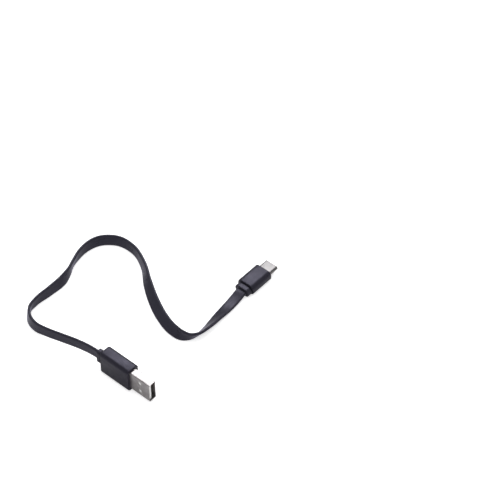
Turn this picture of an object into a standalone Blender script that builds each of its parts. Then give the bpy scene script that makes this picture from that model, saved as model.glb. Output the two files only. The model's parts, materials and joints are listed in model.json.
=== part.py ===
"""Short flat charging cable: a USB-A plug, a ribbon cord with four conductors, and a USB-C plug.

The cable lies on a surface at z = 0. The USB-A plug stands on its narrow side and points along +X,
with the origin under its middle. The ribbon leaves it on edge, makes one open loop, turns over onto
its flat side and ends in the USB-C plug, which lies flat and points along +Y.
"""

import math

import bmesh
import bpy
import numpy as np
from mathutils import Matrix, Vector

MM = 0.001
COLLECTION = "charging_cable"

# Gaps between pieces
FACE_GAP = 0.3  # pieces that meet end to end
FIT_GAP = 0.05  # pieces that sit one inside the other
PAST = 1.0  # how far a cutter runs past the face that it opens

# Ribbon
RIBBON_WIDTH = 6.2
RIBBON_THICKNESS = 1.6
JACKET_WALL = 0.35
RIBBON_STEP = 3.6  # largest distance between two sections
WIRE_DIAMETER = 0.7
WIRE_PITCH = 1.2
WIRE_LEAD = 1.5  # straight length of a conductor where it meets a contact or leaves the jacket
PAD_PITCH = 1.44  # between the conductors' pads on the USB-C board

# Strain reliefs: steps (width, thickness, start, end) from the rear end, with the flex axis half way
A_RELIEF_STEPS = ((8.4, 3.8, 0.0, 2.3), (7.6, 3.0, 2.2, 2.7), (8.4, 3.8, 2.6, 3.4), (7.6, 3.0, 3.3, 4.0))
C_RELIEF_STEPS = ((9.1, 4.8, 0.0, 2.4), (7.6, 3.4, 2.3, 2.8))
A_RELIEF_LENGTH = A_RELIEF_STEPS[-1][3]
C_RELIEF_LENGTH = C_RELIEF_STEPS[-1][3]
RELIEF_CORNER = 1.4
RELIEF_SLOT = (6.5, 1.9)
RELIEF_DROP = 0.4  # how far below a plug's middle the ribbon leaves it
JACKET_RECESS = 0.25  # from the jacket's end to the relief's front end
A_JACKET_END = A_RELIEF_LENGTH / 2 - JACKET_RECESS
C_JACKET_END = C_RELIEF_LENGTH / 2 - JACKET_RECESS

# Both plug bodies: distances along a plug are from its flex axis
A_BODY_START = A_RELIEF_LENGTH / 2 + FACE_GAP
C_BODY_START = C_RELIEF_LENGTH / 2 + FACE_GAP
REAR_WALL = 1.4
MOULD_RECESS = 0.4  # from the rear wall to the inner mould

# USB-A plug: sizes across are (width, thickness)
A_BODY = (14.8, 7.8)
A_BODY_CORNER = 2.0
A_BODY_LENGTH = 19.4
A_SHELL = (12.0, 4.5)
A_SHELL_CORNER = 0.6
A_SHELL_WALL = 0.3
A_SHELL_LENGTH = 19.0
A_SHELL_EXPOSED = 12.8
A_WINDOW = (2.4, 2.0)
A_WINDOW_SPREAD = 2.9
A_WINDOW_FROM_TIP = 6.2
A_TONGUE_TOP = -0.1
A_TONGUE_RECESS = 0.6
A_BASE_RECESS = 0.4
A_BASE_LENGTH = 7.0
A_CONTACTS = (
    ("supply", -3.5, 2.0),
    ("data_minus", -1.0, 3.0),
    ("data_plus", 1.0, 3.0),
    ("ground", 3.5, 2.0),
)  # name, place across, distance of its front end from the tip
A_CONTACT = (1.1, 0.2)
A_CHANNEL = (1.3, 0.4)
A_TAIL_START = 11.75
A_POCKET = (12.3, 5.7)
A_MOULD = (12.0, 5.4)
A_MOULD_HOLE = (10.6, 3.6)
A_MOULD_CORNERS = (0.8, 0.5)
A_MOULD_GAP = 0.8  # from the mould's front end to the shell's rear end

# USB-C plug
C_BODY = (11.0, 6.2)
C_BODY_CORNER = 2.2
C_BODY_LENGTH = 14.5
C_SHELL = (8.25, 2.4)
C_SHELL_WALL = 0.25
C_SHELL_EXPOSED = 6.65
C_SHELL_LENGTH = 13.4
C_SLEEVE_WALL = 0.35
C_SLEEVE_RECESS = 0.2
C_SLEEVE_LENGTH = 12.4
C_ROW_A = (-2.75, -1.25, -0.75, -0.25, 0.25, 1.25, 2.75)
C_ROW_B = (-2.75, -1.25, -0.75, 1.25, 2.75)
C_CONTACT = (0.25, 0.15)
C_CONTACT_GAP = 0.7  # between the two rows, where the socket's tongue goes
C_CONTACT_RECESS = 1.4
C_TAIL_START = 7.75
C_BOARD = (6.4, 0.6)
C_BOARD_SPAN = (4.45, 9.95)
C_POCKET = (9.3, 4.7)
C_RESISTOR = (1.0, 0.4, 0.5)  # across, height, along
C_RESISTOR_PLACE = (1.2, 5.65)  # across, along
C_MOULD = (9.0, 4.4)
C_MOULD_HOLE = (7.2, 2.6)
C_MOULD_CORNERS = (1.2, 0.6)
LATCH_ARM = (0.2, 0.6)  # thickness, height
LATCH_PLACE = 3.0  # from the middle to the arm's middle
LATCH_BRIDGE_LENGTH = 1.3
LATCH_ROOT = 15.75
LATCH_TIP = 21.75
LATCH_HOOK = (0.2, 0.7)  # how far in, how long
LATCH_OVERLAP = 0.1  # of the hook's block with the arm

# Where the plugs lie
A_FLEX_X = -(A_BODY_LENGTH + A_SHELL_EXPOSED + FACE_GAP) / 2
A_CENTRE_Z = A_BODY[0] / 2
C_FLEX = (5.5, 83.7)
C_CENTRE_Z = C_BODY[1] / 2

# The ribbon's route: x, y, lean of its upper edge to the left in degrees, lift above its resting height
ROUTE = (
    (A_FLEX_X + A_JACKET_END, 0.0, 0, 3.9),
    (-19.5, 0.0, 0, 3.9),
    (-24.4, -0.2, -1, 3.6),
    (-31.9, -1.1, -2, 2.9),
    (-41.9, -3.1, -3, 1.9),
    (-51.5, -5.1, -5, 1.1),
    (-57.8, -5.7, -10, 0.5),
    (-64.3, -3.9, -12, 0.1),
    (-69.4, 1.1, -7, 0.0),
    (-70.5, 6.5, 0, 0.0),
    (-70.3, 16.7, 13, 0.0),
    (-70.7, 27.4, 21, 0.0),
    (-72.3, 33.0, 3, 0.0),
    (-74.9, 38.5, -8, 0.0),
    (-76.7, 44.3, 0, 0.0),
    (-77.6, 49.7, 6, 0.0),
    (-75.7, 59.5, 20, 0.0),
    (-68.2, 66.0, 19, 0.0),
    (-57.2, 66.8, 11, 0.0),
    (-45.7, 62.0, 16, 0.0),
    (-35.7, 54.5, 40, 0.0),
    (-25.6, 48.0, 55, 0.0),
    (-15.2, 42.9, 64, 0.0),
    (-4.1, 39.6, 52, 0.0),
    (1.6, 39.3, 26, 0.0),
    (5.9, 41.2, -12, 0.0),
    (8.1, 45.6, -33, 0.0),
    (8.3, 50.9, -45, 0.0),
    (7.2, 61.8, -69, 0.0),
    (6.3, 72.6, -88, 0.5),
    (5.9, 77.7, -90, 1.2),
    (5.6, 81.6, -90, 1.9),
    (C_FLEX[0], C_FLEX[1] + C_JACKET_END, -90, 1.9),
)

PARTS = bpy.data.collections.new(COLLECTION)
CUTTERS = bpy.data.collections.new("cutters")


# ---------------------------------------------------------------- scene and materials


def clear_scene():
    for item in list(bpy.data.objects):
        bpy.data.objects.remove(item, do_unlink=True)
    for collection in (PARTS, CUTTERS):
        bpy.context.scene.collection.children.link(collection)


def material(name, colour, roughness, metallic=0.0):
    made = bpy.data.materials.new(name)
    made.use_nodes = True
    shader = made.node_tree.nodes["Principled BSDF"]
    shader.inputs["Base Color"].default_value = (*colour, 1.0)
    shader.inputs["Roughness"].default_value = roughness
    shader.inputs["Metallic"].default_value = metallic
    return made


def make_materials():
    return {
        "body": material("black_plug_plastic", (0.035, 0.034, 0.042), 0.5),
        "jacket": material("black_jacket", (0.04, 0.038, 0.048), 0.45),
        "relief": material("black_relief", (0.035, 0.034, 0.042), 0.55),
        "shell": material("nickel_shell", (0.72, 0.71, 0.7), 0.28, 1.0),
        "insulator_white": material("white_insulator", (0.8, 0.8, 0.79), 0.5),
        "insulator_black": material("black_insulator", (0.02, 0.02, 0.022), 0.5),
        "contact": material("gold_contact", (0.83, 0.62, 0.25), 0.25, 1.0),
        "mould": material("clear_white_mould", (0.75, 0.74, 0.7), 0.6),
        "latch": material("steel_latch", (0.6, 0.6, 0.6), 0.3, 1.0),
        "board": material("green_board", (0.02, 0.16, 0.06), 0.5),
        "resistor": material("black_resistor", (0.03, 0.03, 0.03), 0.4),
        "supply": material("red_insulation", (0.5, 0.02, 0.02), 0.5),
        "data_minus": material("white_insulation", (0.75, 0.75, 0.75), 0.5),
        "data_plus": material("green_insulation", (0.02, 0.3, 0.08), 0.5),
        "ground": material("black_insulation", (0.02, 0.02, 0.02), 0.5),
    }


# ---------------------------------------------------------------- modelling helpers


def add_object(name, mesh, finish, parent=None):
    made = bpy.data.objects.new(name, mesh)
    if finish:
        made.data.materials.clear()
        made.data.materials.append(finish)
        PARTS.objects.link(made)
    else:
        CUTTERS.objects.link(made)
        made.hide_render = True
        made.display_type = "WIRE"
    if parent:
        made.parent = parent
    return made


def rounded_outline(width, height, corner, steps=4):
    """A rectangle with round corners, as points in order."""
    corner = min(corner, width / 2, height / 2)
    points = []
    for quarter in range(4):
        turn = quarter * math.pi / 2
        side_x = 1 if quarter in (0, 3) else -1
        side_y = 1 if quarter in (0, 1) else -1
        for step in range(steps + 1):
            angle = turn + step / steps * math.pi / 2
            point = (
                side_x * (width / 2 - corner) + corner * math.cos(angle),
                side_y * (height / 2 - corner) + corner * math.sin(angle),
            )
            if not points or math.dist(point, points[-1]) > 0.001:
                points.append(point)
    if math.dist(points[0], points[-1]) < 0.001:
        points.pop()
    return points


def curve_mesh(name, curve):
    """The curve's own mesh, with its caps joined to its sides."""
    holder = bpy.data.objects.new(name, curve)
    bpy.context.scene.collection.objects.link(holder)
    graph = bpy.context.evaluated_depsgraph_get()
    mesh = bpy.data.meshes.new_from_object(holder.evaluated_get(graph))
    bpy.data.objects.remove(holder, do_unlink=True)
    edit = bmesh.new()
    edit.from_mesh(mesh)
    bmesh.ops.remove_doubles(edit, verts=edit.verts, dist=0.01 * MM)
    bmesh.ops.recalc_face_normals(edit, faces=edit.faces)
    edit.to_mesh(mesh)
    edit.free()
    mesh.name = name
    return mesh


def add_spline(curve, points, closed):
    spline = curve.splines.new("POLY")
    spline.points.add(len(points) - 1)
    for target, point in zip(spline.points, points):
        place = [value * MM for value in point]
        target.co = (*place, *(0.0,) * (3 - len(place)), 1.0)
    spline.use_cyclic_u = closed
    return spline


def prism(name, outlines, start, end, finish, parent, centre=(0.0, 0.0)):
    """A straight bar along the parent's Z, from start to end; outlines after the first are holes."""
    curve = bpy.data.curves.new(name, "CURVE")
    curve.dimensions = "2D"
    curve.fill_mode = "BOTH"
    curve.extrude = (end - start) / 2 * MM
    for outline in outlines:
        add_spline(curve, outline, closed=True)
    made = add_object(name, curve_mesh(name, curve), finish, parent)
    made.location = (centre[0] * MM, centre[1] * MM, (start + end) / 2 * MM)
    return made


def block(name, size, start, end, finish, parent, centre=(0.0, 0.0)):
    """A plain box along the parent's Z, from start to end."""
    mesh = bpy.data.meshes.new(name)
    edit = bmesh.new()
    bmesh.ops.create_cube(edit, size=1.0)
    scale = Vector((size[0] * MM, size[1] * MM, (end - start) * MM))
    bmesh.ops.scale(edit, vec=scale, verts=edit.verts)
    edit.to_mesh(mesh)
    edit.free()
    made = add_object(name, mesh, finish, parent)
    made.location = (centre[0] * MM, centre[1] * MM, (start + end) / 2 * MM)
    return made


def combine(target, other, operation):
    change = target.modifiers.new(f"{operation.lower()}_{other.name}", "BOOLEAN")
    change.operation = operation
    change.object = other


def cut_block(target, size, start, end, centre=(0.0, 0.0)):
    name = f"{target.name}_cut_{len(target.modifiers)}"
    combine(target, block(name, size, start, end, None, target.parent, centre), "DIFFERENCE")


def add_step(target, size, start, end, corner, hole, centre):
    """Joins one more step, with the same slot through it, onto a prism."""
    name = f"{target.name}_step_{len(target.modifiers)}"
    outlines = [rounded_outline(*size, corner), rounded_outline(*hole, hole[1] / 2)]
    combine(target, prism(name, outlines, start, end, None, target.parent, centre), "UNION")


def flex_empty(name, location, insertion, width):
    """An empty on a plug's flex axis: Z is the insertion direction, X the plug's width."""
    insertion, width = Vector(insertion), Vector(width)
    thickness = insertion.cross(width)
    turn = Matrix((width, thickness, insertion)).transposed().to_4x4()
    empty = bpy.data.objects.new(name, None)
    empty.matrix_world = Matrix.Translation(Vector(location) * MM) @ turn
    PARTS.objects.link(empty)
    return empty


# ---------------------------------------------------------------- ribbon


def smooth_route(samples=40):
    """A smooth curve through the route's points, as rows of x, y, lean and lift."""
    points = np.array(ROUTE, float)
    knots = np.concatenate([[0], np.cumsum(np.linalg.norm(np.diff(points[:, :2], axis=0), axis=1))])
    slopes = np.gradient(points, knots, axis=0)
    slopes[0] = (points[1] - points[0]) / (knots[1] - knots[0])
    slopes[-1] = (points[-1] - points[-2]) / (knots[-1] - knots[-2])
    rows = [points[0]]
    for i in range(len(points) - 1):
        span = knots[i + 1] - knots[i]
        for t in np.linspace(0, 1, samples + 1)[1:]:
            rows.append(
                (2 * t**3 - 3 * t**2 + 1) * points[i]
                + (t**3 - 2 * t**2 + t) * span * slopes[i]
                + (3 * t**2 - 2 * t**3) * points[i + 1]
                + (t**3 - t**2) * span * slopes[i + 1]
            )
    return np.array(rows)


def resting_height(lean):
    """How high the ribbon's middle is when its lower edge touches the surface."""
    half_flat = (RIBBON_WIDTH - RIBBON_THICKNESS) / 2
    return half_flat * np.abs(np.cos(np.radians(lean))) + RIBBON_THICKNESS / 2


def ribbon_sections():
    """Evenly spaced middles, unit directions and unit width axes along the ribbon, in millimetres."""
    rows = smooth_route()
    line = np.column_stack([rows[:, :2], resting_height(rows[:, 2]) + np.maximum(rows[:, 3], 0)])
    run = np.concatenate([[0], np.cumsum(np.linalg.norm(np.diff(line, axis=0), axis=1))])
    places = np.linspace(0, run[-1], math.ceil(run[-1] / RIBBON_STEP) + 1)
    middles = np.column_stack([np.interp(places, run, line[:, k]) for k in range(3)])
    leans = np.radians(np.interp(places, run, rows[:, 2]))
    ahead = np.gradient(middles, places, axis=0)
    ahead /= np.linalg.norm(ahead, axis=1)[:, None]
    left = np.cross([0, 0, 1], ahead)
    left /= np.linalg.norm(left, axis=1)[:, None]
    upright = np.cross(ahead, left)
    widths = np.cos(leans)[:, None] * upright + np.sin(leans)[:, None] * left
    return middles, ahead, widths, leans


def jacket_outline():
    """The ribbon's section: flat sides in four strips, and round edges."""
    half_flat = (RIBBON_WIDTH - RIBBON_THICKNESS) / 2
    radius = RIBBON_THICKNESS / 2
    strips = np.linspace(half_flat, -half_flat, 5)
    points = [(x, radius) for x in strips]
    for angle in (135, 180, 225):
        turn = math.radians(angle)
        points.append((-half_flat + radius * math.cos(turn), radius * math.sin(turn)))
    points += [(x, -radius) for x in strips[::-1]]
    for angle in (-45, 0, 45):
        turn = math.radians(angle)
        points.append((half_flat + radius * math.cos(turn), radius * math.sin(turn)))
    return points


def make_jacket(finish):
    """The flat jacket: an open tube along the route, given its wall by Solidify."""
    middles, _, _, leans = ribbon_sections()
    profile = bpy.data.curves.new("jacket_profile", "CURVE")
    profile.dimensions = "2D"
    add_spline(profile, [(y, x) for x, y in jacket_outline()], closed=True)
    guide = bpy.data.objects.new("jacket_profile", profile)
    guide.hide_render = True
    guide.display_type = "WIRE"
    CUTTERS.objects.link(guide)
    curve = bpy.data.curves.new("cable_jacket", "CURVE")
    curve.dimensions = "3D"
    curve.twist_mode = "Z_UP"
    curve.bevel_mode = "OBJECT"
    curve.bevel_object = guide
    spline = add_spline(curve, middles, closed=False)
    for point, lean in zip(spline.points, leans):
        point.tilt = -lean
    made = add_object("cable_jacket", curve_mesh("cable_jacket", curve), finish)
    wall = made.modifiers.new("wall", "SOLIDIFY")
    wall.thickness = JACKET_WALL * MM
    wall.offset = -1
    return made


def wire_route(place, a_place, c_place):
    """One conductor's middle line: spread to its contact in each plug, side by side in the jacket."""
    middles, _, widths, _ = ribbon_sections()
    inside = middles + place * widths
    a_end = A_TAIL_START - FACE_GAP
    c_end = C_BOARD_SPAN[0] - FACE_GAP
    a_run = (
        (a_end, a_place),
        (a_end - WIRE_LEAD, a_place),
        ((a_end + A_JACKET_END) / 2, (a_place - place + RELIEF_DROP) / 2),
        (A_JACKET_END + WIRE_LEAD, RELIEF_DROP - place),
    )
    c_run = (
        (C_JACKET_END + WIRE_LEAD / 2, place, RELIEF_DROP),
        (c_end - WIRE_LEAD / 2, c_place, 0.0),
        (c_end, c_place, 0.0),
    )
    a_points = [(A_FLEX_X + along, 0.0, A_CENTRE_Z - across) for along, across in a_run]
    c_points = [
        (C_FLEX[0] + across, C_FLEX[1] + along, C_CENTRE_Z - drop) for along, across, drop in c_run
    ]
    return a_points + [tuple(point) for point in inside] + c_points


def make_wires(finishes):
    for index, (name, a_place, _) in enumerate(A_CONTACTS):
        order = (len(A_CONTACTS) - 1) / 2 - index
        curve = bpy.data.curves.new(f"wire_{name}", "CURVE")
        curve.dimensions = "3D"
        curve.bevel_depth = WIRE_DIAMETER / 2 * MM
        curve.bevel_resolution = 1
        curve.use_fill_caps = True
        route = wire_route(order * WIRE_PITCH, a_place, order * PAD_PITCH)
        add_spline(curve, route, closed=False)
        mesh = curve_mesh(f"wire_{name}", curve)
        add_object(f"wire_{name}", mesh, finishes[name]).data.shade_smooth()


# ---------------------------------------------------------------- plugs


def make_relief(name, steps, centre, finish, flex):
    """The stepped collar around the ribbon, behind the plug body, with an open slot through it."""
    shift = -steps[-1][3] / 2
    slot = rounded_outline(*RELIEF_SLOT, RELIEF_SLOT[1] / 2)
    width, height, start, end = steps[0]
    outlines = [rounded_outline(width, height, RELIEF_CORNER), slot]
    relief = prism(name, outlines, start + shift, end + shift, finish, flex, centre)
    for width, height, start, end in steps[1:]:
        size = (width, height)
        add_step(relief, size, start + shift, end + shift, RELIEF_CORNER, RELIEF_SLOT, centre)
    return relief


def make_body(name, size, corner, start, front, pocket, pocket_end, mouth, slot_centre, finish, flex):
    """A plug's moulded body: a pocket for the inner mould, a mouth for the shell, a slot for the cord."""
    body = prism(name, [rounded_outline(*size, corner)], start, front, finish, flex)
    pocket_start = start + REAR_WALL
    cut_block(body, RELIEF_SLOT, start - PAST, pocket_start + PAST, slot_centre)
    cut_block(body, pocket, pocket_start, pocket_end)
    cut_block(body, mouth, pocket_end - PAST, front + PAST)
    return body


def make_inner_mould(name, size, hole, corners, body_start, end, finish, flex):
    """The first moulding, a frame around the joints between the conductors and the contacts."""
    outlines = [rounded_outline(*size, corners[0], 2), rounded_outline(*hole, corners[1], 2)]
    prism(name, outlines, body_start + REAR_WALL + MOULD_RECESS, end, finish, flex)


def make_plug_a(finishes, flex):
    front = A_BODY_START + A_BODY_LENGTH
    tip = front + A_SHELL_EXPOSED
    shell_start = tip - A_SHELL_LENGTH
    mould_end = shell_start - A_MOULD_GAP
    mouth = (A_SHELL[0] + FACE_GAP, A_SHELL[1] + FACE_GAP)
    ribbon_centre = (RELIEF_DROP, 0.0)
    make_body(
        "usb_a_overmould", A_BODY, A_BODY_CORNER, A_BODY_START, front, A_POCKET,
        mould_end + FACE_GAP, mouth, ribbon_centre, finishes["body"], flex,
    )
    make_relief("usb_a_strain_relief", A_RELIEF_STEPS, ribbon_centre, finishes["relief"], flex)

    inner = (A_SHELL[0] - 2 * A_SHELL_WALL, A_SHELL[1] - 2 * A_SHELL_WALL)
    outlines = [
        rounded_outline(*A_SHELL, A_SHELL_CORNER),
        rounded_outline(*inner, A_SHELL_CORNER - A_SHELL_WALL),
    ]
    shell = prism("usb_a_shell", outlines, shell_start, tip, finishes["shell"], flex)
    window_middle = tip - A_WINDOW_FROM_TIP
    for side in (-1, 1):
        cut_block(
            shell, (A_WINDOW[0], A_SHELL[1] + PAST), window_middle - A_WINDOW[1] / 2,
            window_middle + A_WINDOW[1] / 2, (side * A_WINDOW_SPREAD, 0.0),
        )

    base_start = shell_start + A_BASE_RECESS
    base_end = base_start + A_BASE_LENGTH
    size = (inner[0] - 4 * FIT_GAP, inner[1] - 4 * FIT_GAP)
    insulator = block(
        "usb_a_insulator", size, base_start, tip - A_TONGUE_RECESS, finishes["insulator_white"], flex,
    )
    over_tongue = (size[0] + PAST, A_SHELL[1])
    over_middle = (0.0, A_TONGUE_TOP + A_SHELL[1] / 2)
    cut_block(insulator, over_tongue, base_end, tip + PAST, over_middle)
    contact_middle = A_TONGUE_TOP + FIT_GAP + A_CONTACT[1] / 2
    for name, place, from_tip in A_CONTACTS:
        channel_middle = (place, A_TONGUE_TOP + A_CHANNEL[1] / 2)
        cut_block(insulator, A_CHANNEL, base_start - PAST, base_end + PAST, channel_middle)
        block(
            f"usb_a_contact_{name}", A_CONTACT, A_TAIL_START, tip - from_tip, finishes["contact"], flex,
            (place, contact_middle),
        )

    make_inner_mould(
        "usb_a_inner_mould", A_MOULD, A_MOULD_HOLE, A_MOULD_CORNERS, A_BODY_START, mould_end,
        finishes["mould"], flex,
    )


def make_latches(finish, flex):
    """The side latch: a bridge between the contact rows, and an arm with a hook on each side."""
    bridge = (2 * LATCH_PLACE + LATCH_ARM[0], LATCH_ARM[1])
    bridge_end = LATCH_ROOT - FACE_GAP
    block("usb_c_latch_bridge", bridge, bridge_end - LATCH_BRIDGE_LENGTH, bridge_end, finish, flex)
    for name, side in (("left", 1), ("right", -1)):
        hinge = bpy.data.objects.new(f"usb_c_latch_{name}_hinge", None)
        hinge.parent = flex
        hinge.location = (side * LATCH_PLACE * MM, 0.0, LATCH_ROOT * MM)
        PARTS.objects.link(hinge)
        length = LATCH_TIP - LATCH_ROOT
        arm = block(f"usb_c_latch_{name}", LATCH_ARM, 0.0, length, finish, hinge)
        hook_size = (LATCH_HOOK[0] + LATCH_OVERLAP, LATCH_ARM[1])
        inward = (LATCH_ARM[0] + LATCH_HOOK[0] - LATCH_OVERLAP) / 2
        hook = block(
            f"usb_c_latch_{name}_hook", hook_size, length - LATCH_HOOK[1], length, None, hinge,
            (-side * inward, 0.0),
        )
        combine(arm, hook, "UNION")


def make_plug_c(finishes, flex):
    front = C_BODY_START + C_BODY_LENGTH
    tip = front + C_SHELL_EXPOSED
    shell_start = tip - C_SHELL_LENGTH
    mould_end = shell_start - FACE_GAP
    mouth = (C_SHELL[0] + FACE_GAP, C_SHELL[1] + FACE_GAP)
    ribbon_centre = (0.0, -RELIEF_DROP)
    make_body(
        "usb_c_overmould", C_BODY, C_BODY_CORNER, C_BODY_START, front, C_POCKET,
        mould_end + FACE_GAP, mouth, ribbon_centre, finishes["body"], flex,
    )
    make_relief("usb_c_strain_relief", C_RELIEF_STEPS, ribbon_centre, finishes["relief"], flex)

    inner = (C_SHELL[0] - 2 * C_SHELL_WALL, C_SHELL[1] - 2 * C_SHELL_WALL)
    outlines = [rounded_outline(*C_SHELL, C_SHELL[1] / 2), rounded_outline(*inner, inner[1] / 2)]
    prism("usb_c_shell", outlines, shell_start, tip, finishes["shell"], flex)

    sleeve = (inner[0] - 2 * FIT_GAP, inner[1] - 2 * FIT_GAP)
    bore = (sleeve[0] - 2 * C_SLEEVE_WALL, sleeve[1] - 2 * C_SLEEVE_WALL)
    sleeve_end = tip - C_SLEEVE_RECESS
    outlines = [rounded_outline(*sleeve, sleeve[1] / 2), rounded_outline(*bore, bore[1] / 2)]
    start = sleeve_end - C_SLEEVE_LENGTH
    prism("usb_c_insulator", outlines, start, sleeve_end, finishes["insulator_black"], flex)

    height = (C_CONTACT_GAP + C_CONTACT[1]) / 2
    for row, places, side in (("a", C_ROW_A, 1), ("b", C_ROW_B, -1)):
        for number, place in enumerate(places, 1):
            block(
                f"usb_c_contact_{row}{number}", C_CONTACT, C_TAIL_START, tip - C_CONTACT_RECESS,
                finishes["contact"], flex, (place, side * height),
            )
    make_latches(finishes["latch"], flex)

    block("usb_c_board", C_BOARD, *C_BOARD_SPAN, finishes["board"], flex)
    across, height, along = C_RESISTOR
    resistor_middle = (C_RESISTOR_PLACE[0], (C_BOARD[1] + height) / 2 + FIT_GAP)
    block(
        "usb_c_resistor", (across, height), C_RESISTOR_PLACE[1], C_RESISTOR_PLACE[1] + along,
        finishes["resistor"], flex, resistor_middle,
    )
    make_inner_mould(
        "usb_c_inner_mould", C_MOULD, C_MOULD_HOLE, C_MOULD_CORNERS, C_BODY_START, mould_end,
        finishes["mould"], flex,
    )


def main():
    clear_scene()
    finishes = make_materials()
    flex_a = flex_empty("usb_a_flex_axis", (A_FLEX_X, 0.0, A_CENTRE_Z), (1, 0, 0), (0, 0, -1))
    flex_c = flex_empty("usb_c_flex_axis", (*C_FLEX, C_CENTRE_Z), (0, 1, 0), (-1, 0, 0))
    make_plug_a(finishes, flex_a)
    make_jacket(finishes["jacket"])
    make_wires(finishes)
    make_plug_c(finishes, flex_c)


main()
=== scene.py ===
import json
import math

import bmesh
import bpy
import numpy as np
from mathutils import Matrix, Vector


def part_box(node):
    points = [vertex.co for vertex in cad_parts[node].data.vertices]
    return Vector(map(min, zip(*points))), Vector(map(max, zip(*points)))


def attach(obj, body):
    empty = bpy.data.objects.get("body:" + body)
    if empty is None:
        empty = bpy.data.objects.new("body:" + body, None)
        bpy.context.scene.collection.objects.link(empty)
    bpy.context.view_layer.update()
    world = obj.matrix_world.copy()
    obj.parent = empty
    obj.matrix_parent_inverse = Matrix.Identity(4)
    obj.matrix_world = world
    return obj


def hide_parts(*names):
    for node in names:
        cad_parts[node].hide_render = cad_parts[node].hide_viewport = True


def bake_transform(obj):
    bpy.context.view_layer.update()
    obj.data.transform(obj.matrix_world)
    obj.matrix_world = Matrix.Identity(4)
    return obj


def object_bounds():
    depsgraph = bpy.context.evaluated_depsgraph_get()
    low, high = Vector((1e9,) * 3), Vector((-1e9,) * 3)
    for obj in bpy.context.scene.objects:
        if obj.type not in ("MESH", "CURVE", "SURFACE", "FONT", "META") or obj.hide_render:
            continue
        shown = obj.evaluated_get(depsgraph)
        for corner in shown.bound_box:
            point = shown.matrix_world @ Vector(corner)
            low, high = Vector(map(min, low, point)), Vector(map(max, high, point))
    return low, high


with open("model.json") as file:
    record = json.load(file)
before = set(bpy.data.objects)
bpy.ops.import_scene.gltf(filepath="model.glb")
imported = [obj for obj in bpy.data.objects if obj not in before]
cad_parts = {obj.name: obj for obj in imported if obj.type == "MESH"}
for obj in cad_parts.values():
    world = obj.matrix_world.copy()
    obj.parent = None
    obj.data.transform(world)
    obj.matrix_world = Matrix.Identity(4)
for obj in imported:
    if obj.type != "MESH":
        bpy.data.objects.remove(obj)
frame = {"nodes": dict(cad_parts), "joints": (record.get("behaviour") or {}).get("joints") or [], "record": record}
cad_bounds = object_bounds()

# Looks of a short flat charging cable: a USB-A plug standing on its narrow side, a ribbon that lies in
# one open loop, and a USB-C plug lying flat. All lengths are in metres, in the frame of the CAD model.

MM = 0.001

# View: the camera looks at a point to the right of and behind the cable's middle
VIEW_AZIMUTH = math.radians(40.8)
VIEW_ELEVATION = math.radians(47.0)
VIEW_DISTANCE = 1.0
VIEW_LENS = 134.6  # millimetres, on a sensor of VIEW_SENSOR
VIEW_SENSOR = 36.0
VIEW_OFFSET = Vector((0.0182, 0.0594, 0.0))

# Light: each softbox's direction from the aim, distance, size and power
ROOM_LIGHT = 0.25
BACK_SOFTBOX = {"towards": (-0.38, 0.42, 0.72), "distance": 1.2, "size": (0.6, 0.5), "power": 5.6}
OVERHEAD = {"towards": (-0.1, 0.1, 1.0), "distance": 1.4, "size": (2.4, 2.4), "power": 18.0}

# Floor, its darker double in reflections, and the wall that hides the floor's far edge
FLOOR_HEIGHT = -0.06 * MM
FLOOR_REACH = 4.0
FLOOR_TONE = 0.93
FLOOR_GLOW = 0.65
MIRRORED_FLOOR_HEIGHT = -0.03 * MM
MIRRORED_FLOOR_TONE = 0.64
SURROUND_ROUGHNESS = 0.9
WALL_FOOT = -1.0
WALL_HEIGHT = 6.0
WALL_SIDES = 96
WALL_GLOW = 0.88  # as bright as the floor's far edge

# Ribbon
RIBBON_WIDTH = 6.2 * MM
RIBBON_THICKNESS = 1.6 * MM
RIBBON_CROWN = 0.03 * MM  # how much fuller each flat side is along its middle
RIBBON_STEP = 0.8 * MM  # between the jacket's cross-sections
RIBBON_OVER_JOINT = 0.3 * MM  # how far the jacket reaches past each flex axis, inside the collars

# Conductors
WIRE_DIAMETER = 0.7 * MM
WIRE_PITCH = 1.2 * MM  # across the ribbon
PAD_PITCH = 1.44 * MM  # across the USB-C plug's board
WIRE_LEAD = 1.5 * MM  # straight length where a conductor leaves a plug or enters the ribbon
WIRES = ("supply", "data_minus", "data_plus", "ground")
END_GAP = 0.3 * MM  # between pieces that meet end to end
WIRE_SPLIT = 5.0 * MM  # length in the ribbon of the pieces that bend with the USB-A plug

# Collars: width, thickness, start and end of each ring and groove, from the rear end
A_COLLAR = (
    (8.4 * MM, 3.8 * MM, 0.0 * MM, 2.25 * MM),
    (7.6 * MM, 3.0 * MM, 2.25 * MM, 2.65 * MM),
    (8.4 * MM, 3.8 * MM, 2.65 * MM, 3.35 * MM),
    (7.6 * MM, 3.0 * MM, 3.35 * MM, 4.3 * MM),
)
C_COLLAR = (
    (9.3 * MM, 4.8 * MM, 0.0 * MM, 2.75 * MM),
    (8.6 * MM, 4.2 * MM, 2.75 * MM, 3.1 * MM),
)
A_COLLAR_CORNER = 1.4 * MM
C_COLLAR_CORNER = 2.3 * MM
A_COLLAR_HALF = 2.0 * MM  # from a collar's rear end to its flex axis
C_COLLAR_HALF = 1.4 * MM
COLLAR_ROUNDING = 0.3 * MM
COLLAR_DROP = 0.4 * MM  # how far below a plug's middle the ribbon leaves it
CORD_SLOT = (6.28 * MM, 1.68 * MM, 0.82 * MM)  # width, thickness and corner

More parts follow.
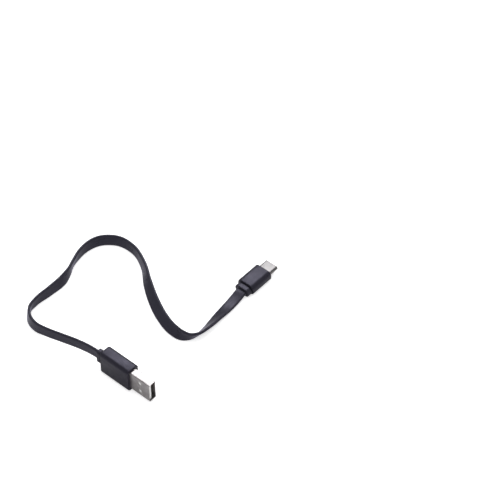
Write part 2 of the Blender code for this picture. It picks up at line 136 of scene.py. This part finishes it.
# Plug bodies: the section's corner, the rounding of the rear and front edges, and inside them the width,
# thickness and corner of the pocket for the inner mould and of the hole for the shell
A_BODY = {
    "corner": 2.0 * MM,
    "radii": (0.8 * MM, 0.3 * MM),
    "pocket": (12.3 * MM, 5.7 * MM, 0.9 * MM),
    "mouth": (12.06 * MM, 4.56 * MM, 0.62 * MM),
}
C_BODY = {
    "corner": 2.7 * MM,
    "radii": (0.5 * MM, 0.35 * MM),
    "pocket": (9.3 * MM, 4.7 * MM, 1.3 * MM),
    "mouth": (8.31 * MM, 2.46 * MM, 1.22 * MM),
}

# Metal shells: the section's corner, the wall, the rounding of the lip, and how far past the CAD node
A_SHELL = {"corner": 0.6 * MM, "wall": 0.3 * MM, "lip": 0.06 * MM, "ahead": 0.3 * MM}
C_SHELL = {"corner": 1.2 * MM, "wall": 0.25 * MM, "lip": 0.06 * MM, "ahead": 0.0}

# The two windows through each wide side of the USB-A shell, and its seam
WINDOW_OFFSET = 2.9 * MM
WINDOW_HALF_WIDTH = 1.2 * MM
WINDOW_LENGTH = 2.0 * MM
WINDOW_FROM_END = 7.2 * MM
WINDOW_CUT_HALF_DEPTH = 3.0 * MM
SEAM_HALF_WIDTH = 0.03 * MM
SEAM_DEPTH = 0.12 * MM
SEAM_TAB_HALF = 1.3 * MM
SEAM_TAB_REACH = 0.9 * MM
SEAM_FROM_END = 0.8 * MM

# Edges
ALMOST_SHARP = 0.02 * MM
TINY = 0.01 * MM
SHARP_ANGLE = 40.0  # edges that turn by more degrees than this are shaded as sharp
SOFT_ANGLE = 60.0  # the same, on the ribbon and the conductors
EDGE_WIDTH = 0.03 * MM
EDGE_WIDTHS = {"insulator_white": 0.12 * MM, "contact": 0.04 * MM}

# The ribbon's route: x, y, lean of its upper edge to the left in degrees, lift above its resting height
ROUTE = (
    (-0.0145, 0, 0, 0.0039),
    (-0.0195, 0, 0, 0.0039),
    (-0.0244, -0.0002, -1, 0.0036),
    (-0.0319, -0.0011, -2, 0.0029),
    (-0.0419, -0.0031, -3, 0.0019),
    (-0.0515, -0.0051, -5, 0.0011),
    (-0.0578, -0.0057, -10, 0.0005),
    (-0.0643, -0.0039, -12, 0.0001),
    (-0.0694, 0.0011, -7, 0),
    (-0.0705, 0.0065, 0, 0),
    (-0.0703, 0.0167, 13, 0),
    (-0.0707, 0.0274, 21, 0),
    (-0.0723, 0.033, 3, 0),
    (-0.0749, 0.0385, -8, 0),
    (-0.0767, 0.0443, 0, 0),
    (-0.0776, 0.0497, 6, 0),
    (-0.0757, 0.0595, 20, 0),
    (-0.0682, 0.066, 19, 0),
    (-0.0572, 0.0668, 11, 0),
    (-0.0457, 0.062, 16, 0),
    (-0.0357, 0.0545, 40, 0),
    (-0.0256, 0.048, 55, 0),
    (-0.0152, 0.0429, 64, 0),
    (-0.0041, 0.0396, 52, 0),
    (0.0016, 0.0393, 26, 0),
    (0.0059, 0.0412, -12, 0),
    (0.0081, 0.0456, -33, 0),
    (0.0083, 0.0509, -45, 0),
    (0.0072, 0.0618, -69, 0),
    (0.0063, 0.0726, -88, 0.0005),
    (0.0059, 0.0777, -90, 0.0012),
    (0.0056, 0.0816, -90, 0.0019),
    (0.0055, 0.08485, -90, 0.0019),
)


# ---------------------------------------------------------------- camera, light and floor


def add_camera():
    """The camera, and the point on the floor that it looks at."""
    middle = (Vector(cad_bounds[0]) + Vector(cad_bounds[1])) / 2
    aim = Vector((middle.x, middle.y, 0.0)) + VIEW_OFFSET
    level = math.cos(VIEW_ELEVATION)
    away = Vector((
        math.sin(VIEW_AZIMUTH) * level,
        -math.cos(VIEW_AZIMUTH) * level,
        math.sin(VIEW_ELEVATION),
    ))
    camera = bpy.data.objects.new("camera", bpy.data.cameras.new("camera"))
    camera.data.lens = VIEW_LENS
    camera.data.sensor_width = VIEW_SENSOR
    camera.location = aim + away * VIEW_DISTANCE
    camera.rotation_euler = away.to_track_quat("Z", "Y").to_euler()
    bpy.context.scene.collection.objects.link(camera)
    bpy.context.scene.camera = camera
    return aim


def add_light(name, aim, towards, distance, size, power, in_reflections=True):
    """A softbox that faces the aim from a direction, at a distance."""
    lamp = bpy.data.lights.new(name, "AREA")
    lamp.shape = "RECTANGLE"
    lamp.size, lamp.size_y = size
    lamp.energy = power
    made = bpy.data.objects.new(name, lamp)
    direction = Vector(towards).normalized()
    made.location = aim + direction * distance
    made.rotation_euler = direction.to_track_quat("Z", "Y").to_euler()
    made.visible_glossy = in_reflections
    bpy.context.scene.collection.objects.link(made)


def add_studio(aim):
    """A softbox behind the cable, a wide overhead light that keeps the floor white, and a dim white room."""
    scene = bpy.context.scene
    scene.view_settings.view_transform = "Standard"
    scene.world = bpy.data.worlds.new("studio")
    scene.world.use_nodes = True
    background = scene.world.node_tree.nodes["Background"]
    background.inputs["Color"].default_value = (1.0, 1.0, 1.0, 1.0)
    background.inputs["Strength"].default_value = ROOM_LIGHT
    add_light("back_softbox", aim, **BACK_SOFTBOX)
    add_light("overhead", aim, **OVERHEAD, in_reflections=False)

    add_surround("floor", aim, FLOOR_HEIGHT, FLOOR_TONE, FLOOR_GLOW)
    mirrored = add_surround("floor_in_reflections", aim, MIRRORED_FLOOR_HEIGHT, MIRRORED_FLOOR_TONE, 0.0)
    hide_from(mirrored, "camera", "diffuse", "shadow")
    wall = add_surround("far_wall", aim, WALL_FOOT + WALL_HEIGHT / 2, 0.0, WALL_GLOW, wall=True)
    hide_from(wall, "diffuse", "glossy", "shadow")


def hide_from(piece, *rays):
    for kind in rays:
        setattr(piece, f"visible_{kind}", False)


def add_surround(name, aim, height, tone, glow, wall=False):
    """A wide level sheet, or a round wall at its edge: matt, of an even tone, and glowing by itself."""
    mesh = bpy.data.meshes.new(name)
    edit = bmesh.new()
    if wall:
        bmesh.ops.create_cone(
            edit, cap_ends=False, segments=WALL_SIDES,
            radius1=FLOOR_REACH, radius2=FLOOR_REACH, depth=WALL_HEIGHT,
        )
    else:
        bmesh.ops.create_grid(edit, x_segments=1, y_segments=1, size=FLOOR_REACH)
    edit.to_mesh(mesh)
    edit.free()
    sheet = bpy.data.objects.new(name, mesh)
    sheet.location = (aim.x, aim.y, height)
    bpy.context.scene.collection.objects.link(sheet)
    finish = bpy.data.materials.new(name)
    finish.use_nodes = True
    shader = finish.node_tree.nodes["Principled BSDF"]
    shader.inputs["Base Color"].default_value = (tone, tone, tone, 1.0)
    shader.inputs["Roughness"].default_value = SURROUND_ROUGHNESS
    shader.inputs["Emission Strength"].default_value = glow
    mesh.materials.append(finish)
    return sheet


# ---------------------------------------------------------------- materials


class Finish:
    """A Principled material whose colour, roughness and relief come from procedural nodes."""

    def __init__(self, name, roughness, metallic=0.0, specular=0.5, tint=(1.0, 1.0, 1.0), sheen=0.0):
        self.material = bpy.data.materials.new(name)
        self.material.use_nodes = True
        self.tree = self.material.node_tree
        self.shader = self.tree.nodes["Principled BSDF"]
        self.shader.inputs["Metallic"].default_value = metallic
        self.shader.inputs["Roughness"].default_value = roughness
        self.shader.inputs["Specular IOR Level"].default_value = specular
        self.shader.inputs["Specular Tint"].default_value = (*tint, 1.0)
        self.shader.inputs["Sheen Weight"].default_value = sheen
        self.shader.inputs["Sheen Roughness"].default_value = 0.3
        self.shader.inputs["Sheen Tint"].default_value = (*tint, 1.0)
        self.normal = None

    def node(self, kind, **inputs):
        """A node with constants on its inputs; an underscore stands for a space in an input's name."""
        made = self.tree.nodes.new(kind)
        for name, value in inputs.items():
            made.inputs[name.replace("_", " ")].default_value = value
        return made

    def link(self, source, target):
        self.tree.links.new(source, target)

    def coordinates(self, stretch, along_ribbon=False):
        """The piece's own coordinates, scaled along each axis."""
        source = self.node("ShaderNodeTexCoord")
        mapping = self.node("ShaderNodeMapping", Scale=stretch)
        self.link(source.outputs["UV" if along_ribbon else "Object"], mapping.inputs["Vector"])
        return mapping.outputs["Vector"]

    def noise(self, size, detail=3.0, stretch=(1.0, 1.0, 1.0), along_ribbon=False):
        """Noise whose grains are about size across; stretch makes them shorter along an axis."""
        made = self.node("ShaderNodeTexNoise", Scale=1.0 / size, Detail=detail, Roughness=0.6)
        self.link(self.coordinates(stretch, along_ribbon), made.inputs["Vector"])
        return made.outputs["Fac"]

    def ramp(self, source, low, high, start=0.3, end=0.7):
        """A value from low to high, as the source goes from start to end."""
        made = self.node("ShaderNodeMapRange", From_Min=start, From_Max=end, To_Min=low, To_Max=high)
        self.link(source, made.inputs["Value"])
        return made.outputs["Result"]

    def mix(self, factor, first, second):
        """A colour between two colours or colour sockets."""
        made = self.node("ShaderNodeMix")
        made.data_type = "RGBA"
        self.link(factor, made.inputs["Factor"])
        for slot, value in (("A", first), ("B", second)):
            socket = next(s for s in made.inputs if s.name == slot and s.type == "RGBA")
            if isinstance(value, tuple):
                socket.default_value = (*value, 1.0)
            else:
                self.link(value, socket)
        return next(s for s in made.outputs if s.type == "RGBA")

    def colour(self, source):
        self.link(source, self.shader.inputs["Base Color"])

    def roughness(self, source):
        self.link(source, self.shader.inputs["Roughness"])

    def bump(self, source, height):
        """Relief of a height, on top of any relief that the finish has."""
        made = self.node("ShaderNodeBump", Distance=height, Strength=1.0)
        self.link(source, made.inputs["Height"])
        if self.normal:
            self.link(self.normal, made.inputs["Normal"])
        self.normal = made.outputs["Normal"]
        self.link(self.normal, self.shader.inputs["Normal"])

    def edges(self):
        """1 on worn edges and 0 on flats."""
        geometry = self.node("ShaderNodeNewGeometry")
        return self.ramp(geometry.outputs["Pointiness"], 0.0, 1.0, 0.52, 0.6)


def moulded_plastic(name, colour, worn, roughness, **shine):
    """Plastic with a fine moulded grain, slow changes of tone, and paler edges."""
    finish = Finish(name, roughness, **shine)
    tone = finish.ramp(finish.noise(4.0 * MM, 4.0), 0.0, 1.0)
    darker = tuple(0.86 * part for part in colour)
    base = finish.mix(tone, darker, colour)
    finish.colour(finish.mix(finish.edges(), base, worn))
    smear = finish.noise(2.5 * MM, 5.0)
    finish.roughness(finish.ramp(smear, roughness - 0.06, roughness + 0.06))
    finish.bump(finish.noise(0.18 * MM, 2.0), 0.006 * MM)
    return finish.material


def ribbon_jacket(name, colour, roughness, **shine):
    """Soft jacket: fine lines along the ribbon from its extrusion, and a dull grain."""
    finish = Finish(name, roughness, **shine)
    lines = finish.noise(0.5 * MM, 3.0, (0.02, 1.0, 1.0), along_ribbon=True)
    tone = finish.noise(7.0 * MM, 4.0, along_ribbon=True)
    darker = tuple(0.84 * part for part in colour)
    paler = tuple(1.12 * part for part in colour)
    base = finish.mix(finish.ramp(tone, 0.0, 1.0), darker, colour)
    finish.colour(finish.mix(finish.ramp(lines, 0.0, 0.5), base, paler))
    smear = finish.noise(3.0 * MM, 5.0, (0.4, 1.0, 1.0), along_ribbon=True)
    finish.roughness(finish.ramp(smear, roughness - 0.07, roughness + 0.07))
    finish.bump(lines, 0.006 * MM)
    finish.bump(finish.noise(0.15 * MM, 2.0), 0.004 * MM)
    return finish.material


def plated_metal(name, colour, shade, roughness):
    """Stamped and plated sheet: fine brushing along the piece, and faint stains."""
    finish = Finish(name, roughness, metallic=1.0)
    stain = finish.noise(3.0 * MM, 5.0)
    finish.colour(finish.mix(finish.ramp(stain, 0.0, 1.0), shade, colour))
    hairlines = finish.noise(0.12 * MM, 4.0, (1.0, 1.0, 0.03))
    finish.roughness(finish.ramp(hairlines, roughness - 0.07, roughness + 0.09))
    finish.bump(hairlines, 0.002 * MM)
    return finish.material


def circuit_board(name):
    """Solder mask over faint copper tracks."""
    finish = Finish(name, 0.35)
    tracks = finish.noise(0.6 * MM, 0.0, (1.0, 1.0, 0.2))
    edge = finish.ramp(tracks, 0.0, 1.0, 0.48, 0.52)
    finish.colour(finish.mix(edge, (0.01, 0.1, 0.035), (0.02, 0.2, 0.07)))
    finish.bump(tracks, 0.01 * MM)
    return finish.material


# Finishes, each under its slot's name in the record; the black plastics shine with a violet tint
VIOLET = (0.78, 0.75, 1.0)
FINISHES = {
    "plug_body": moulded_plastic(
        "satin_black_plastic", (0.017, 0.0163, 0.024), (0.03, 0.029, 0.039), 0.38, specular=0.48, tint=VIOLET
    ),
    "strain_relief": moulded_plastic(
        "satin_black_relief", (0.023, 0.0222, 0.031), (0.036, 0.035, 0.045), 0.4, specular=0.5, tint=VIOLET
    ),
    "jacket": ribbon_jacket(
        "satin_black_jacket", (0.028, 0.027, 0.038), 0.31, specular=0.28, tint=VIOLET, sheen=0.6
    ),
    "plug_shell": plated_metal("nickel_plate", (0.66, 0.63, 0.635), (0.48, 0.45, 0.455), 0.38),
    "insulator_white": moulded_plastic("white_insulator", (0.82, 0.81, 0.8), (0.86, 0.85, 0.84), 0.42),
    "insulator_black": moulded_plastic("black_insulator", (0.022, 0.022, 0.024), (0.04, 0.04, 0.042), 0.4),
    "contact": plated_metal("gold_plate", (0.9, 0.66, 0.28), (0.78, 0.55, 0.22), 0.22),
    "inner_mould": moulded_plastic("white_mould", (0.72, 0.71, 0.67), (0.8, 0.79, 0.75), 0.5),
    "latch": plated_metal("spring_steel", (0.62, 0.62, 0.61), (0.5, 0.5, 0.5), 0.28),
    "board": circuit_board("green_board"),
    "resistor": moulded_plastic("black_ceramic", (0.03, 0.03, 0.03), (0.08, 0.08, 0.08), 0.35),
    "wire_supply": moulded_plastic("red_insulation", (0.5, 0.02, 0.02), (0.55, 0.05, 0.05), 0.4),
    "wire_data_minus": moulded_plastic("white_insulation", (0.72, 0.72, 0.72), (0.8, 0.8, 0.8), 0.4),
    "wire_data_plus": moulded_plastic("green_insulation", (0.02, 0.28, 0.08), (0.05, 0.33, 0.1), 0.4),
    "wire_ground": moulded_plastic("dark_insulation", (0.02, 0.02, 0.02), (0.05, 0.05, 0.05), 0.4),
}

# The insides of both shells, in a darker colour that is painted shade, and the outside of the USB-C shell, which
# is of plain steel
SHELL_INSIDE_SHADE = plated_metal("shell_inside_painted_shade", (0.3, 0.29, 0.29), (0.22, 0.21, 0.21), 0.5)
STEEL = plated_metal("satin_steel", (0.37, 0.36, 0.365), (0.31, 0.3, 0.305), 0.42)


# ---------------------------------------------------------------- mesh helpers


def add_piece(name, mesh, slot, place=None):
    """Adds a piece with the finish of a record slot."""
    piece = bpy.data.objects.new(name, mesh)
    if place:
        piece.matrix_world = place
    bpy.context.scene.collection.objects.link(piece)
    mesh.materials.clear()
    mesh.materials.append(FINISHES[slot])
    return piece


def finish_mesh(name, edit, sharp=SHARP_ANGLE):
    """A mesh with its faces outwards, smooth but for edges sharper than an angle in degrees."""
    bmesh.ops.recalc_face_normals(edit, faces=edit.faces)
    mesh = bpy.data.meshes.new(name)
    edit.to_mesh(mesh)
    edit.free()
    mesh.shade_smooth()
    mesh.set_sharp_from_angle(angle=math.radians(sharp))
    return mesh


def outline(width, thickness, corner, centre=(0.0, 0.0), steps=8):
    """Points around a rectangle with round corners, the same number for every size."""
    corner = min(corner, 0.49 * width, 0.49 * thickness)
    points = []
    for quarter, (side_x, side_y) in enumerate(((1, 1), (-1, 1), (-1, -1), (1, -1))):
        for step in range(steps + 1):
            angle = (quarter + step / steps) * math.pi / 2
            points.append((
                centre[0] + side_x * (width / 2 - corner) + corner * math.cos(angle),
                centre[1] + side_y * (thickness / 2 - corner) + corner * math.sin(angle),
            ))
    return points


def skin(edit, rings, closed):
    """Faces between rings of points; a closed skin joins the last ring to the first, another is capped."""
    rings = [[edit.verts.new(point) for point in ring] for ring in rings]
    following = rings[1:] + rings[:1] if closed else rings[1:]
    for ring, other in zip(rings, following):
        for i, corner in enumerate(ring):
            j = (i + 1) % len(ring)
            edit.faces.new((corner, ring[j], other[j], other[i]))
    if not closed:
        edit.faces.new(rings[0][::-1])
        edit.faces.new(rings[-1])


def loft(name, sections, slot, place, closed):
    """A piece through sections (along, width, thickness, corner, and any centre) in a plug's own axes."""
    edit = bmesh.new()
    rings = [[(x, y, along) for x, y in outline(*size)] for along, *size in sections]
    skin(edit, rings, closed)
    return add_piece(name, finish_mesh(name, edit), slot, place)


def rounded_end(end, size, radius, ahead, steps=4):
    """Sections that round the edge of an end face; ahead is 1 at a front end and -1 at a rear end."""
    sections = []
    for step in range(steps + 1):
        angle = step / steps * math.pi / 2
        shrink = radius * (1 - math.cos(angle))
        along = end - ahead * radius * (1 - math.sin(angle))
        corner = max(size[2] - shrink, ALMOST_SHARP)
        sections.append((along, size[0] - 2 * shrink, size[1] - 2 * shrink, corner))
    return sections if ahead > 0 else sections[::-1]


def flex_point(joint):
    """A point on a joint's axis, from the record."""
    return Vector(next(entry["pos_m"] for entry in frame["joints"] if entry["name"] == joint))


def plug_axes(joint, insertion, width):
    """A plug's own axes at its flex joint: X across it, Y through it, Z the way it is pushed in."""
    insertion, width = Vector(insertion), Vector(width)
    turn = Matrix((width, insertion.cross(width), insertion)).transposed().to_4x4()
    return Matrix.Translation(flex_point(joint)) @ turn


def span(node, place):
    """A CAD node's lowest and highest corners in a plug's own axes."""
    ends = [place.inverted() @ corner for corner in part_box(node)]
    low = Vector([min(pair) for pair in zip(*ends)])
    high = Vector([max(pair) for pair in zip(*ends)])
    return low, high


def cut(piece, cutters):
    """Cuts cutter pieces out of a piece and removes them."""
    for cutter in cutters:
        change = piece.modifiers.new("cut", "BOOLEAN")
        change.operation = "DIFFERENCE"
        change.object = cutter
    bpy.context.view_layer.update()
    graph = bpy.context.evaluated_depsgraph_get()
    mesh = bpy.data.meshes.new_from_object(piece.evaluated_get(graph))
    piece.modifiers.clear()
    piece.data = mesh
    mesh.set_sharp_from_angle(angle=math.radians(SHARP_ANGLE))
    for cutter in cutters:
        bpy.data.objects.remove(cutter, do_unlink=True)


# ---------------------------------------------------------------- ribbon


def smooth_route(samples=60):
    """A smooth curve through the route's points, as rows of x, y, lean and lift."""
    points = np.array(ROUTE, float)
    steps = np.linalg.norm(np.diff(points[:, :2], axis=0), axis=1)
    knots = np.concatenate([[0], np.cumsum(steps)])
    slopes = np.gradient(points, knots, axis=0)
    slopes[0] = (points[1] - points[0]) / steps[0]
    slopes[-1] = (points[-1] - points[-2]) / steps[-1]
    rows = [points[0]]
    for i, span_length in enumerate(steps):
        for t in np.linspace(0, 1, samples + 1)[1:]:
            rows.append(
                (2 * t**3 - 3 * t**2 + 1) * points[i]
                + (t**3 - 2 * t**2 + t) * span_length * slopes[i]
                + (3 * t**2 - 2 * t**3) * points[i + 1]
                + (t**3 - t**2) * span_length * slopes[i + 1]
            )
    return np.array(rows)


def ribbon_sections(cut_start=0.0, cut_end=0.0):
    """Evenly spaced middles, width axes and thickness axes along the ribbon, without its cut ends."""
    rows = smooth_route()
    half_flat = (RIBBON_WIDTH - RIBBON_THICKNESS) / 2
    resting = half_flat * np.abs(np.cos(np.radians(rows[:, 2]))) + RIBBON_THICKNESS / 2
    line = np.column_stack([rows[:, :2], resting + np.maximum(rows[:, 3], 0)])
    run = np.concatenate([[0], np.cumsum(np.linalg.norm(np.diff(line, axis=0), axis=1))])
    places = np.linspace(cut_start, run[-1] - cut_end, math.ceil(run[-1] / RIBBON_STEP) + 1)
    middles = np.column_stack([np.interp(places, run, line[:, k]) for k in range(3)])
    leans = np.radians(np.interp(places, run, rows[:, 2]))
    ahead = np.gradient(middles, places, axis=0)
    ahead /= np.linalg.norm(ahead, axis=1)[:, None]
    left = np.cross([0, 0, 1], ahead)
    left /= np.linalg.norm(left, axis=1)[:, None]
    upright = np.cross(ahead, left)
    widths = np.cos(leans)[:, None] * upright + np.sin(leans)[:, None] * left
    return middles, widths, np.cross(ahead, widths)


def ribbon_profile():
    """The jacket's section: slightly full flat sides between round edges."""
    half_flat = (RIBBON_WIDTH - RIBBON_THICKNESS) / 2
    radius = RIBBON_THICKNESS / 2
    points = []
    for side in (1, -1):
        for angle in np.linspace(-90, 90, 13):
            turn = math.radians(angle)
            points.append((side * (half_flat + radius * math.cos(turn)), side * radius * math.sin(turn)))
        for place in np.linspace(half_flat, -half_flat, 9)[1:-1]:
            crown = RIBBON_CROWN * (1 - (place / half_flat) ** 2)
            points.append((side * place, side * (radius + crown)))
    return points


def add_ribbon(middles, widths, depths):
    """The jacket, with each point's place along and across the ribbon kept for its finish."""
    profile = ribbon_profile()
    edit = bmesh.new()
    rings = [
        [middle + across * width + through * depth for across, through in profile]
        for middle, width, depth in zip(middles, widths, depths)
    ]
    skin(edit, rings, closed=False)
    layer = edit.loops.layers.uv.new("ribbon")
    edit.verts.index_update()
    around = np.concatenate([[0], np.cumsum(np.linalg.norm(np.diff(profile, axis=0), axis=1))])
    for face in edit.faces:
        wraps = {loop.vert.index % len(profile) for loop in face.loops} >= {0, len(profile) - 1}
        for loop in face.loops:
            ring, place = divmod(loop.vert.index, len(profile))
            turn = around[-1] + RIBBON_THICKNESS / 4 if wraps and place == 0 else around[place]
            loop[layer].uv = (ring * RIBBON_STEP, turn)
    mesh = finish_mesh("ribbon_jacket", edit, sharp=SOFT_ANGLE)
    jacket = add_piece("ribbon_jacket", mesh, "jacket")
    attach(jacket, "cable")
    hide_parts("cable_jacket")
    return jacket


def make_ribbon():
    """The visible jacket, which ends inside the two collars, just past their flex axes."""
    middles, _, _ = ribbon_sections()
    past_a = middles[0][0] - flex_point("usb_a_flex").x - RIBBON_OVER_JOINT
    past_c = middles[-1][1] - flex_point("usb_c_flex").y - RIBBON_OVER_JOINT
    middles, widths, depths = ribbon_sections(past_a, past_c)
    return add_ribbon(middles, widths, depths), middles


def tube(name, points, slot):
    """A conductor through the points, with closed ends."""
    curve = bpy.data.curves.new(name, "CURVE")
    curve.dimensions = "3D"
    curve.bevel_depth = WIRE_DIAMETER / 2
    curve.bevel_resolution = 2
    curve.use_fill_caps = True
    spline = curve.splines.new("POLY")
    spline.points.add(len(points) - 1)
    for target, point in zip(spline.points, points):
        target.co = (*point, 1.0)
    holder = bpy.data.objects.new(name, curve)
    bpy.context.scene.collection.objects.link(holder)
    graph = bpy.context.evaluated_depsgraph_get()
    source = bpy.data.meshes.new_from_object(holder.evaluated_get(graph))
    bpy.data.objects.remove(holder, do_unlink=True)
    edit = bmesh.new()
    edit.from_mesh(source)
    bmesh.ops.remove_doubles(edit, verts=edit.verts, dist=TINY)
    return add_piece(name, finish_mesh(name, edit, sharp=SOFT_ANGLE), slot)


def make_wires():
    """Each conductor in two pieces, because it bends with both plugs: an end piece and the rest."""
    middles, widths, _ = ribbon_sections()
    split = round(WIRE_SPLIT / RIBBON_STEP)
    board_low, board_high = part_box("usb_c_board")
    for index, wire in enumerate(WIRES):
        order = (len(WIRES) - 1) / 2 - index
        inside = [tuple(point) for point in middles + order * WIRE_PITCH * widths]
        low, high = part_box(f"usb_a_contact_{wire}")
        end, height = low.x - END_GAP, (low.z + high.z) / 2
        leave, leave_height = inside[0][0], inside[0][2]
        first = [
            (end, 0.0, height),
            (end - WIRE_LEAD, 0.0, height),
            ((end + leave) / 2, 0.0, (height + leave_height) / 2),
            (leave + WIRE_LEAD, 0.0, leave_height),
        ]
        pad = (board_low.x + board_high.x) / 2 + order * PAD_PITCH
        board_height = (board_low.z + board_high.z) / 2
        last = [
            (pad, board_low.y - END_GAP - WIRE_LEAD / 2, board_height),
            (pad, board_low.y - END_GAP, board_height),
        ]
        slot = f"wire_{wire}"
        near_a = tube(f"conductor_{wire}_a", first + inside[:split + 1], slot)
        to_c = tube(f"conductor_{wire}_c", inside[split:] + last, slot)
        cross_joint(near_a)
        cross_joint(to_c)
        for piece in (near_a, to_c):
            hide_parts(slot)


# ---------------------------------------------------------------- plugs


def add_collar(name, steps, corner, half, place, centre):
    """The stepped collar that bends with the ribbon: rings and grooves outside, a close slot inside.

    Rings and long grooves have rounded edges, and short grooves almost sharp ones.
    """
    outer = []
    for width, thickness, start, end in steps:
        rounded = end - start > 2.5 * COLLAR_ROUNDING or (width, thickness) == steps[0][:2]
        radius = min(COLLAR_ROUNDING, 0.4 * (end - start)) if rounded else ALMOST_SHARP
        for sections in (
            rounded_end(start - half, (width, thickness, corner), radius, -1),
            rounded_end(end - half, (width, thickness, corner), radius, 1),
        ):
            outer += [(*section, centre) for section in sections]
    inner = [(along, *CORD_SLOT, centre) for along in (outer[-1][0], outer[0][0])]
    collar = loft(name, outer + inner, "strain_relief", place, closed=True)
    cross_joint(collar)
    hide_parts(name.replace("_collar", "_strain_relief"))


def cross_joint(piece):
    """Bakes the placement of a piece that runs from the ribbon to the plug across the plug's flex joint."""
    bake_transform(piece)


def add_body(name, node, mould, place, body, centre, corner, radii, pocket, mouth):
    """A moulded plug body: rounded ends outside; the shell's hole, a pocket and the cord's slot inside."""
    low, high = span(node, place)
    mould_low, mould_high = span(mould, place)
    size = (high.x - low.x, high.y - low.y, corner)
    outer = rounded_end(low.z, size, radii[0], -1) + rounded_end(high.z, size, radii[1], 1)
    pocket_start, pocket_end = mould_low.z - END_GAP, mould_high.z + END_GAP
    inner = [
        (high.z, *mouth),
        (pocket_end, *mouth),
        (pocket_end, *pocket),
        (pocket_start, *pocket),
        (pocket_start, *CORD_SLOT, centre),
        (low.z, *CORD_SLOT, centre),
    ]
    made = loft(name, outer + inner, "plug_body", place, closed=True)
    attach(made, body)
    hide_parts(node)


def add_shell(name, node, place, body, corner, wall, lip, ahead):
    """A metal shell: a tube with a rounded lip, thinned from inside at its mouth, and inside a darker, rougher
    finish whose darkness is painted shade.
    """
    low, high = span(node, place)
    high.z += ahead
    size = (high.x - low.x, high.y - low.y, corner)
    inner = (size[0] - 2 * wall, size[1] - 2 * wall, corner - wall)
    thin = wall / 2
    mouth = (size[0] - 2 * lip - thin, size[1] - 2 * lip - thin, corner - wall / 2)
    sections = [(low.z, *size), *rounded_end(high.z, size, lip, 1), (high.z, *mouth)]
    sections += [(high.z - wall, *inner), (low.z, *inner)]
    made = loft(name, sections, "plug_shell", place, closed=True)
    # the inner faces get a darker finish: painted shade where little light reaches, with a higher roughness
    made.data.materials.append(SHELL_INSIDE_SHADE)
    for face in made.data.polygons:
        across, through = abs(face.center.x), abs(face.center.y)
        if across < size[0] / 2 - 0.8 * wall and through < size[1] / 2 - 0.8 * wall:
            face.material_index = 1
    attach(made, body)
    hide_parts(node)
    return made


def bar(name, place, low, high):
    """A plain bar between two corners in a plug's own axes, used as a cutter."""
    centre = ((low[0] + high[0]) / 2, (low[1] + high[1]) / 2)
    size = (high[0] - low[0], high[1] - low[1], TINY, centre)
    return loft(name, [(low[2], *size), (high[2], *size)], "plug_shell", place, closed=False)


def seam_cutters(place, side, start, end):
    """The dovetailed seam of a folded shell, along the middle of its far side."""
    middle = (start + end) / 2
    tab_start, tab_end = middle - SEAM_TAB_HALF, middle + SEAM_TAB_HALF
    runs = (
        (0.0, 0.0, start, tab_start),
        (0.0, SEAM_TAB_REACH, tab_start, tab_start),
        (SEAM_TAB_REACH, SEAM_TAB_REACH, tab_start, tab_end),
        (0.0, SEAM_TAB_REACH, tab_end, tab_end),
        (0.0, 0.0, tab_end, end),
    )
    for index, (left, right, back, front) in enumerate(runs):
        low = (left - SEAM_HALF_WIDTH, side - SEAM_DEPTH, back - SEAM_HALF_WIDTH)
        high = (right + SEAM_HALF_WIDTH, side + SEAM_DEPTH, front + SEAM_HALF_WIDTH)
        yield bar(f"seam_{index}", place, low, high)


def window_cutters(place, end):
    """The two windows side by side, each through both wide sides of the shell."""
    start = end - WINDOW_FROM_END
    for side in (-1, 1):
        left, right = (side * WINDOW_OFFSET + edge for edge in (-WINDOW_HALF_WIDTH, WINDOW_HALF_WIDTH))
        low = (left, -WINDOW_CUT_HALF_DEPTH, start)
        high = (right, WINDOW_CUT_HALF_DEPTH, start + WINDOW_LENGTH)
        yield bar(f"window_{side}", place, low, high)


def make_plug_a():
    """The USB-A plug's body, collar and shell; it stands on its narrow side, its width vertical."""
    place = plug_axes("usb_a_flex", (1, 0, 0), (0, 0, -1))
    centre = (COLLAR_DROP, 0.0)
    add_body("usb_a_body", "usb_a_overmould", "usb_a_inner_mould", place, "usb_a_plug", centre, **A_BODY)
    add_collar(
        "usb_a_collar", A_COLLAR, A_COLLAR_CORNER, A_COLLAR_HALF, place, centre
    )
    shell = add_shell("usb_a_metal_shell", "usb_a_shell", place, "usb_a_plug", **A_SHELL)
    low, high = span("usb_a_shell", place)
    cutters = [*window_cutters(place, high.z), *seam_cutters(place, high.y, low.z, high.z - SEAM_FROM_END)]
    cut(shell, cutters)


def make_plug_c():
    """The USB-C plug's body, collar and shell; it lies flat."""
    place = plug_axes("usb_c_flex", (0, 1, 0), (-1, 0, 0))
    centre = (0.0, -COLLAR_DROP)
    add_body("usb_c_body", "usb_c_overmould", "usb_c_inner_mould", place, "usb_c_plug", centre, **C_BODY)
    add_collar(
        "usb_c_collar", C_COLLAR, C_COLLAR_CORNER, C_COLLAR_HALF, place, centre
    )
    shell = add_shell("usb_c_metal_shell", "usb_c_shell", place, "usb_c_plug", **C_SHELL)
    shell.data.materials[0] = STEEL


def finish_cad_nodes():
    """The pieces that keep their CAD shape get finer edges and their finish."""
    slots = {entry["node"]: entry["material_slot"] for entry in frame["record"]["subparts"]}
    for name, piece in frame["nodes"].items():
        if piece.hide_render:
            continue
        piece.data.materials.clear()
        piece.data.materials.append(FINISHES[slots[name]])
        edge = piece.modifiers.new("edge", "BEVEL")
        edge.width = EDGE_WIDTHS.get(slots[name], EDGE_WIDTH)
        edge.segments = 2
        edge.limit_method = "ANGLE"


aim = add_camera()
jacket, ribbon_path = make_ribbon()
add_studio(aim)
make_wires()
make_plug_a()
make_plug_c()
finish_cad_nodes()

[tuple(point) for point in ribbon_path]
